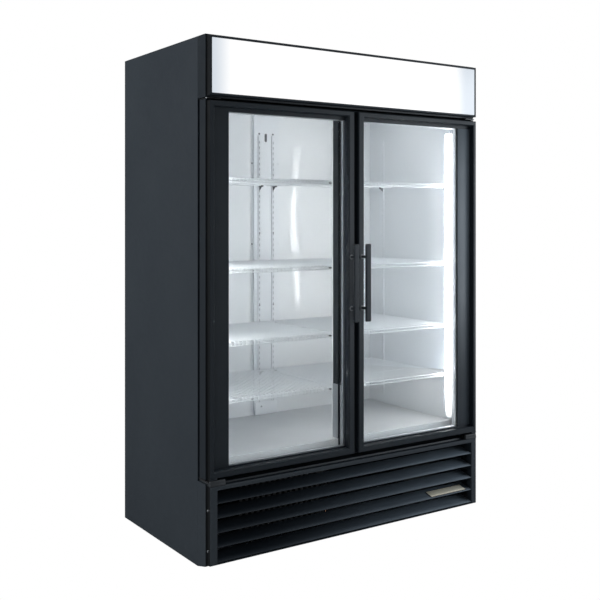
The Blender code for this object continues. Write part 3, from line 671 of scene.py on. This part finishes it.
# ---------------------------------------------------------------- pilasters and the rear column
def pilaster(name, base, across, outward, screwed=False):
    """A slotted shelf standard: two folded rails joined by rungs, with a slot between each pair.
    screwed adds the screws that hold it, and the one just above it."""
    base, across, outward = Vector(base), Vector(across), Vector(outward)
    bottom, top, reach, half = PILASTER_BOTTOM, PILASTER_TOP, PILASTER_REACH, PILASTER_HALF
    sheet, slot = 0.0014, 0.0025

    def bar(shape, us, vs, zs):
        points = [base + across * u + outward * v for u in us for v in vs]
        xs, ys = [p.x for p in points], [p.y for p in points]
        shape.block((min(xs), min(ys), zs[0]), (max(xs), max(ys), zs[1]))

    rails = Shape()
    for way in (-1, 1):
        bar(rails, sorted((way * half, way * slot)), (reach - sheet, reach), (bottom, top))
        bar(rails, sorted((way * half, way * (half - sheet))), (0.0, reach - sheet), (bottom, top))
    rung = (reach - 0.0013, reach - 0.0001)
    z = bottom
    while z + SLOT_PITCH <= top:
        bar(rails, (-slot, slot), rung, (z, z + SLOT_PITCH * 0.52))
        z += SLOT_PITCH
    bar(rails, (-slot, slot), rung, (z, top))
    rails.piece(name, "white_paint")
    # painted shade: a grey strip behind the slots stands for the shaded wall seen through them
    slot_shade = Shape()
    bar(slot_shade, (-slot - 0.0008, slot + 0.0008), (0.0003, 0.0009), (bottom + 0.002, top - 0.002))
    slot_shade.piece(name + "_channel", "slot_shade_grey")
    if screwed:
        screws = Shape()
        screws.screw(base + Vector((0, 0, top + 0.009)), outward, 0.0044, 0.0018)
        for height in (1.242, 0.902, bottom + 0.110):
            screws.screw(base + outward * reach + Vector((0, 0, height)), outward, 0.0034, 0.0016)
        screws.piece(name + "_screws", "dark_clip")


for side, way in SIDES:
    for place, y in zip(("front", "rear"), SIDE_PILASTERS):
        pilaster("%s_%s_pilaster" % (side, place), (way * WALL, y, 0), (0, 1, 0), (-way, 0, 0))
    pilaster("%s_centre_pilaster" % side, (way * REAR_PILASTER, REAR - DUCT_DEPTH, 0), (1, 0, 0),
             (0, -1, 0), screwed=True)


def rear_column():
    """The folded cover down the middle of the back wall, with its foot, cable slot and rivets."""
    face, flange = REAR - DUCT_DEPTH, REAR - 0.0016
    half, lip = DUCT_HALF, 0.010
    column = Shape()
    outline = [(-half - lip, REAR), (-half - lip, flange), (-half, flange), (-half, face),
               (half, face), (half, flange), (half + lip, flange), (half + lip, REAR)]
    column.prism(outline, 2, FLOOR + 0.022, COLUMN_TOP)
    column.block((-half + 0.004, face - 0.006, FLOOR + 0.0006), (half - 0.008, REAR - 0.001, FLOOR + 0.060),
                 0.003)
    column.piece("rear_column", "white_paint")

    oval, end_radius, centre_x = [], 0.0065, -0.002
    for end_z, turn in ((1.7045, 0.0), (1.6775, math.pi)):
        for k in range(13):
            a = turn + math.pi * k / 12
            oval.append((centre_x + end_radius * math.cos(a), end_z + end_radius * math.sin(a)))
    Shape().prism(oval, 1, face - 0.0008, face).piece("column_cable_slot", "dark_clip")

    rivets = Shape()
    for x in (-half - 0.005, half + 0.005):
        for z in (1.57, 1.19, 0.82, 0.46):
            rivets.screw((x, flange, z), (0, -1, 0), 0.0036, 0.0018)
    rivets.screw((-0.030, face - 0.006, FLOOR + 0.040), (0, -1, 0), 0.0036, 0.0018)
    rivets.piece("column_rivets", "dark_clip")


rear_column()


# ---------------------------------------------------------------- lamps inside the cabinet
def side_lamp(side, way):
    """Opal cover that fills the front inner corner, with end caps."""
    def outline(grow):
        wall, front = way * (WALL - 0.0006), FLANGE_BACK + 0.0008
        points = [(wall, front)]
        for k in range(9):
            a = math.radians(90.0 * k / 8)
            points.append((wall - way * (LAMP_WIDE + grow) * math.cos(a),
                           front + (LAMP_DEEP + grow) * math.sin(a)))
        return points

    Shape().prism(outline(0.0), 2, COVER_BOTTOM, COVER_TOP).piece(side + "_side_lamp", "lamp_diffuser")
    cap, gap, rim = 0.012, 0.0002, 0.0015
    caps = Shape()
    caps.prism(outline(rim), 2, COVER_BOTTOM - cap, COVER_BOTTOM - gap)
    caps.prism(outline(rim), 2, COVER_TOP + gap, COVER_TOP + cap)
    caps.piece(side + "_side_lamp_caps", "white_paint")


for side, way in SIDES:
    side_lamp(side, way)


# ---------------------------------------------------------------- doors
SKIN = 0.0012                        # thickness of the door linings, sills and latch plates
SKIN_BEVEL = (0.0003, 1)
BEAD = (FRONT + 0.0243, FRONT + 0.0254)
# where each bead starts and stops across, from the right edge of the glass, and its inset at the ends
BEAD_SPAN = {"left": (-0.0102, -0.0012, 0.012), "right": (-0.0093, 0.0640, 0.0095)}


def ring(shape, outer, inner, y0, y1):
    """A rectangular frame between two rectangles (x0, z0, x1, z1) of the XZ plane."""
    def around(box):
        x0, z0, x1, z1 = box
        return [(x0, z0), (x1, z0), (x1, z1), (x0, z1)]
    shape.loft([[Vector((a[0], y0, a[1])), Vector((a[0], y1, a[1])), Vector((b[0], y1, b[1])),
                 Vector((b[0], y0, b[1]))] for a, b in zip(around(outer), around(inner))], closed=True)
    return shape


def shrink(box, by):
    return (box[0] + by, box[1] + by, box[2] - by, box[3] - by)


def glaze(side, way):
    """Two panes and a spacer for the glass pack, and the linings of the frame behind it."""
    low, high = PACK[side]
    body = side + "_door"
    xs, zs = (low.x + 0.001, high.x - 0.001), (low.z + 0.001, high.z - 0.001)
    for name, ys in (("front", (low.y + 0.0004, low.y + 0.0044)),
                     ("rear", (high.y - 0.0044, high.y - 0.0004))):
        pane = Shape().slab(xs, ys, zs, 0.0006, 1)
        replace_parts(pane.piece("%s_%s_pane" % (side, name), "door_glass", body), side + "_glass_pack")
    edge = (low.x, low.z, high.x, high.z)
    spacer = ring(Shape(), shrink(edge, 0.0015), shrink(edge, 0.012), low.y + 0.0045, high.y - 0.0045)
    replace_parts(spacer.piece(side + "_glass_spacer", "glass_spacer", body), side + "_glass_pack")

    ys = (high.y + 0.0003, DOOR[side][1].y - 0.0003)
    hinge_x, latch_x = (low.x, high.x) if side == "left" else (high.x, low.x)
    inward = -way * SKIN
    lining = Shape()
    lining.slab((hinge_x, hinge_x + inward), ys, (low.z + 0.0014, high.z), *SKIN_BEVEL)
    lining.slab((low.x + 0.0014, high.x - 0.0014), ys, (high.z - SKIN, high.z), *SKIN_BEVEL)
    lining.piece(side + "_door_lining", "lining_vinyl", body)
    sill = Shape().slab((low.x + 0.0002, high.x - 0.0002), ys, (low.z, low.z + SKIN), *SKIN_BEVEL)
    sill.piece(side + "_door_sill", "threshold_vinyl", body)
    plate = Shape().slab((latch_x, latch_x - inward), ys, (low.z + 0.0014, KICK_TOP), *SKIN_BEVEL)
    plate.piece(side + "_latch_plate", "brushed_spacer", body)


def door_fittings(side, way):
    """Washers under the handle's stand-offs, the bead by the right edge of the glass, and the filler
    at the lower corner on the hinge side."""
    body = side + "_door"
    washers = Shape()
    for z in (HANDLE_CENTRE - STANDOFF_REACH, HANDLE_CENTRE + STANDOFF_REACH):
        washers.turned([(0.0098, 0.0), (0.0098, 0.0016), (0.0084, 0.0030), (0.0064, 0.0034)],
                       (way * STANDOFF_X, FRONT - 0.0003, z), (0, -1, 0), 24)
    washers.piece(side + "_handle_washers", "dark_clip", body)
    low, high = PACK[side]
    start, stop, inset = BEAD_SPAN[side]
    bead = Shape().slab((high.x + start, high.x + stop), BEAD, (low.z + inset, high.z - inset), 0.0004)
    bead.piece(side + "_glazing_bead", "glazing_bead", body)
    foot = DOOR[side][0].z
    outer = way * HINGE_SIDE
    filler = Shape().slab((outer, outer - way * 0.030), (FRONT + 0.0008, FRONT + 0.0244),
                          (foot + 0.0003, foot + 0.0066), 0.0010)
    filler.piece(side + "_hinge_corner", "door_trim", body)


for side, way in SIDES:
    glaze(side, way)
    door_fittings(side, way)


def breaker_strip(side, way):
    """White cover round the outer edges of one bay's opening, clear of the gaskets, and its threshold."""
    face, seat, lip_end = FLANGE_FRONT - 0.0010, FLANGE_FRONT - 0.0003, FLANGE_BACK + 0.0010
    inner, outer = way * OPENING_HALF, way * (OPENING_HALF + 0.0125)
    near = way * (MULLION[1].x + 0.0005)
    low, high = MULLION[0].z, MULLION[1].z
    strip = Shape()
    strip.slab((inner, outer), (face, seat), (low - 0.027, high + 0.011))
    strip.slab((inner - way * 0.0014, inner - way * 0.0002), (face, lip_end), (low, high))
    strip.slab((near, inner), (face, seat), (high + 0.0003, high + 0.011))
    strip.slab((near, inner - way * 0.0014), (face, lip_end), (high - 0.0012, high))
    strip.piece(side + "_breaker_strip", "white_paint")
    threshold = Shape()
    threshold.slab((near, inner), (face, seat), (low - 0.027, low - 0.0003))
    threshold.slab((near, inner - way * 0.0016), (face, lip_end), (low, low + 0.0012))
    threshold.piece(side + "_threshold", "threshold_vinyl")
    post = way * (MULLION[1].x + 0.0003)
    plate = Shape().slab((post, post + way * 0.0009), (MULLION[0].y + 0.0004, MULLION[1].y - 0.0004),
                         (low + 0.0016, KICK_TOP), *SKIN_BEVEL)
    plate.piece(side + "_post_plate", "brushed_spacer")


def hinge_fittings(side, way):
    """Pin caps on the top hinge and the cover below the bottom hinge plate."""
    low, high = corners(side + "_top_hinge")
    outer = high.x if way > 0 else low.x
    z = high.z - 0.0030
    cap = [(0.0036, 0.0), (0.0036, 0.0012), (0.0024, 0.0024), (0.0012, 0.0030)]
    caps = Shape()
    if side == "right":
        caps.turned(cap, (outer - way * 0.012, low.y, z), (0, -1, 0), 18)
    caps.turned(cap, (outer, low.y + 0.012, z), (way, 0, 0), 18)
    caps.piece(side + "_hinge_caps", "zinc")
    plate = corners(side + "_bottom_hinge")[0]
    xs = (way * HINGE_SIDE, way * HINGE_INNER)
    rail, front = GRILLE[1].z, FRONT + 0.0006
    door_foot = DOOR["left"][0].z - 0.0012
    cover = Shape()
    cover.slab(xs, (front, plate.y - 0.0004), (rail + 0.0004, door_foot), 0.0028, 3)
    cover.slab(xs, (front, FRONT + 0.0244), (rail - 0.0056, rail + 0.0040), 0.0010)
    cover.slab(xs, (plate.y - 0.0030, FLANGE_FRONT - 0.0010), (rail + 0.0004, plate.z - 0.0004), 0.0014)
    cover.piece(side + "_bottom_hinge_cover", "dark_plastic")


for side, way in SIDES:
    breaker_strip(side, way)
    hinge_fittings(side, way)


# ---------------------------------------------------------------- grille, badge and rear guard
def grille_screws():
    screws = Shape()
    for way in (-1.0, 1.0):
        for z in (0.228, 0.078):
            screws.turned([(0.0046, 0.0), (0.0046, 0.0010), (0.0036, 0.0024), (0.0018, 0.0030)],
                          (way * (abs(GRILLE[0].x) - 0.0060), FRONT + 0.0185, z), (way, 0, 0), 20)
    screws.piece("grille_screws", "zinc")


def blank_badge():
    """A plain plate that lies on the fourth blade."""
    low, high = corners("grille_blade_4")
    along = Vector((0, high.y - low.y, high.z - low.z - 0.002)).normalized()
    out = Vector((0, -along.z, along.y))
    start = Vector((0, low.y, low.z + 0.002)) + out * 0.0004

    def plate(x0, x1, from_nose, to_back, thick):
        section = [start + along * from_nose, start + along * to_back,
                   start + along * to_back + out * thick, start + along * from_nose + out * thick]
        return [[Vector((x, c.y, c.z)) for c in section] for x in (x0, x1)]

    Shape().loft(plate(0.417, 0.627, 0.006, 0.052, 0.0010)).piece("badge_backing", "dark_plastic")
    badge = Shape()
    badge.loft(plate(0.421, 0.623, 0.009, 0.049, 0.0019))
    badge.loft(plate(0.429, 0.615, 0.015, 0.043, 0.0024))
    badge.piece("badge_plate", "badge_plate")


def rear_guard():
    """Louvred sheet that closes the back of the machine compartment."""
    back, sheet, border = REAR_FACE - 0.0032, 0.0014, 0.026
    edge = (-0.6835, 0.0370, 0.6835, 0.3348)
    guard = ring(Shape(), edge, shrink(edge, border), back - sheet, back)
    for x in (-0.22, 0.22):
        guard.slab(about(x, 0.012), (back - sheet, back), (edge[1] + border, edge[3] - border))
    z = edge[1] + 0.020
    while z < edge[3] - 0.030:
        guard.prism([(back - 0.0008, z), (back, z + 0.0009), (back - 0.0115, z + 0.0229),
                     (back - 0.0125, z + 0.0222)], 0, edge[0] + 0.020, edge[2] - 0.020)
        z += 0.0190
    guard.piece("rear_guard", "black_steel")
    screws = Shape()
    for x in (-0.668, -0.220, 0.220, 0.668):
        for z in (edge[1] + 0.012, edge[3] - 0.012):
            screws.screw((x, back, z), (0, 1, 0), 0.0042, 0.0022)
    screws.piece("rear_guard_screws", "zinc")


def box_underside():
    """Folded sheet that covers the foam above the machine compartment."""
    foam = corners("floor_foam")[0].z
    half = abs(GRILLE[0].x) - 0.0040
    ahead, behind = FLANGE_BACK + 0.0006, REAR_FACE - 0.0180
    sheet, fold = 0.0008, (foam - 0.0130, foam - 0.0011)
    cover = Shape().slab((-half, half), (ahead, behind), (foam - 0.0011, foam - 0.0003))
    cover.slab((-half, half), (ahead, ahead + sheet), fold)
    cover.slab((-half, half), (behind - sheet, behind), fold)
    cover.piece("box_underside", "galvanised_steel")


grille_screws()
blank_badge()
rear_guard()
box_underside()


# ---------------------------------------------------------------- cooling parts
RING_SIDES, GUARD_SPOKES = 40, 4


def wire_guard(name, centre, axis, radii, wire):
    """Concentric wire rings joined by straight spokes."""
    centre, axis = Vector(centre), Vector(axis)
    side = Vector((1, 0, 0))
    up = axis.cross(side)

    def at(radius, angle):
        return centre + (side * math.cos(angle) + up * math.sin(angle)) * radius

    guard = Shape()
    for radius in radii:
        guard.tube([at(radius, angle) for angle in circle(RING_SIDES)], wire, 6, closed=True)
    for k in range(GUARD_SPOKES):
        angle = 2 * math.pi * (k + 0.5) / GUARD_SPOKES
        guard.tube([at(radii[0], angle) + axis * wire, at(radii[-1], angle) + axis * wire], wire, 6)
    guard.piece(name, "shelf_wire")


def evaporator_fittings():
    """Cover screws, fan guard, and the bezel and dial marks of the two controls."""
    low, high = corners("evaporator_cover")
    screws = Shape()
    for x in (-0.485, -0.245, 0.0, 0.245, 0.485):
        for z in (low.z + 0.008, high.z - 0.008):
            screws.screw((x, low.y - 0.0001, z), (0, -1, 0), 0.0036, 0.0018)
    screws.piece("evaporator_screws", "zinc")
    middle = sum(corners("evaporator_fan"), Vector()) / 2
    wire_guard("evaporator_fan_guard", (middle.x, middle.y, low.z - 0.0046), (0, 0, 1),
               (0.022, 0.042, 0.062, 0.088), 0.0014)
    switch_low, switch_high = corners("light_switch")
    switch = (switch_low.x, switch_low.z, switch_high.x, switch_high.z)
    marks = ring(Shape(), shrink(switch, -0.004), shrink(switch, -0.0006), low.y - 0.0026, low.y - 0.0002)
    centre = sum(corners("thermostat_knob"), Vector()) / 2
    y, start = low.y - 0.0006, 0.0205
    for k in range(9):
        a = math.radians(-225 + 270 * k / 8)
        end = 0.0235 + (0.0020 if k % 4 == 0 else 0.0)
        marks.tube([(centre.x + r * math.cos(a), y, centre.z - r * math.sin(a)) for r in (start, end)],
                   0.0005, 6)
    marks.piece("control_marks", "dark_plastic")


def compressor_fittings(body_low, axis):
    """Weld seam, terminal cover and rubber feet."""
    seam_radius, foot_reach = 0.0892, 0.062 * 1.25
    seam = Shape()
    seam.tube([(axis.x + seam_radius * math.cos(a), axis.y + seam_radius * math.sin(a), body_low.z + 0.096)
               for a in circle(RING_SIDES)], 0.0028, 6, closed=True)
    seam.slab(about(axis.x, 0.026), (body_low.y - 0.0240, body_low.y + 0.0030),
              (body_low.z + 0.060, body_low.z + 0.120), 0.004)
    for dx in (-foot_reach, foot_reach):
        for dy in (-foot_reach, foot_reach):
            seam.turned([(0.013, 0.0), (0.013, 0.006), (0.010, 0.008), (0.010, 0.012), (0.006, 0.014)],
                        (axis.x + dx, axis.y + dy, body_low.z), (0, 0, 1), 20)
    seam.piece("compressor_fittings", "black_enamel")


def copper_pipes(axis, top):
    """Discharge, liquid and suction lines with the filter drier."""
    low, high = corners("condenser_coil")

    def by_coil(x, y, z):
        return (high.x + x, high.y + y, z)

    def by_compressor(x, y, z):
        return (axis.x + x, axis.y + y, top + z)

    pipes = Shape()
    pipes.tube([by_compressor(0.02, 0.0, -0.02), by_compressor(0.02, 0.0, 0.030),
                by_compressor(0.012, -0.010, 0.040), by_compressor(-0.030, -0.080, 0.042),
                by_coil(0.032, 0.030, high.z - 0.012), by_coil(0.022, -0.010, high.z - 0.016),
                by_coil(0.002, -0.020, high.z - 0.016)], 0.0040, 10)
    drier = by_coil(0.090, 0.010, low.z + 0.036)
    pipes.tube([by_coil(0.002, -0.020, low.z + 0.020), by_coil(0.040, -0.014, low.z + 0.022), drier],
               0.0032, 10)
    pipes.turned([(0.0032, 0.0), (0.0110, 0.012), (0.0110, 0.098), (0.0032, 0.110)], drier,
                 (0.55, 0.75, 0.1), 20)
    pipes.tube([by_compressor(-0.020, 0.020, -0.02), by_compressor(-0.020, 0.020, 0.034),
                by_compressor(-0.012, 0.034, 0.050), by_compressor(0.030, 0.090, 0.054),
                by_compressor(0.040, 0.104, 0.062), by_compressor(0.040, 0.106, 0.100)], 0.0055, 10)
    pipes.piece("copper_pipes", "copper")


def control_box_fittings(body_low, axis):
    """Lid screws, cable glands, and the cable to the compressor."""
    low, high = corners("control_box")
    screws = Shape()
    for x in (low.x + 0.012, high.x - 0.012):
        for z in (low.z + 0.012, high.z - 0.012):
            screws.screw((x, low.y - 0.0002, z), (0, -1, 0), 0.0040, 0.0020)
    screws.piece("control_box_screws", "zinc")
    gland_y = low.y + 0.055
    cables = Shape()
    for z in (low.z + 0.040, low.z + 0.080):
        cables.turned([(0.0105, 0.0), (0.0105, 0.005), (0.0085, 0.006), (0.0085, 0.016), (0.0050, 0.018)],
                      (low.x - 0.0002, gland_y, z), (-1, 0, 0), 20)
    cables.tube([(low.x - 0.016, gland_y, low.z + 0.040), (low.x - 0.060, low.y + 0.070, low.z + 0.030),
                 (axis.x + 0.060, body_low.y - 0.040, body_low.z + 0.060),
                 (axis.x + 0.020, body_low.y - 0.0245, body_low.z + 0.085)], 0.0042, 8)
    cables.piece("control_box_cables", "dark_plastic")


def machine_fittings():
    shroud_front = corners("condenser_fan_shroud")[0].y
    middle = sum(corners("condenser_fan"), Vector()) / 2
    wire_guard("condenser_fan_guard", (middle.x, shroud_front - 0.0032, middle.z), (0, 1, 0),
               (0.026, 0.044, 0.062, 0.080, 0.106), 0.0013)
    body_low, body_high = corners("compressor")
    axis = (body_low + body_high) / 2
    compressor_fittings(body_low, axis)
    copper_pipes(axis, body_high.z)
    control_box_fittings(body_low, axis)


def wall_plug():
    """Plug in the hole of the right side wall."""
    y, z = 0.2517, 1.330
    plug = Shape()
    plug.turned([(0.0085, 0.0), (0.0085, 0.0016), (0.0070, 0.0034), (0.0035, 0.0042)],
                (WALL - 0.0003, y, z), (-1, 0, 0), 24)
    plug.piece("wall_plug", "shelf_wire")


evaporator_fittings()
machine_fittings()
wall_plug()

# ---------------------------------------------------------------- studio floor
STUDIO_HALF = 40.0
floor_mesh = bpy.data.meshes.new("studio_floor")
floor_mesh.from_pydata([(-STUDIO_HALF, -STUDIO_HALF, 0), (STUDIO_HALF, -STUDIO_HALF, 0),
                        (STUDIO_HALF, STUDIO_HALF, 0), (-STUDIO_HALF, STUDIO_HALF, 0)], [], [(0, 1, 2, 3)])
floor_mesh.materials.append(FINISH["studio_floor"])
studio = bpy.data.objects.new("studio_floor", floor_mesh)
scene.collection.objects.link(studio)
studio.visible_camera = False
studio.visible_glossy = False
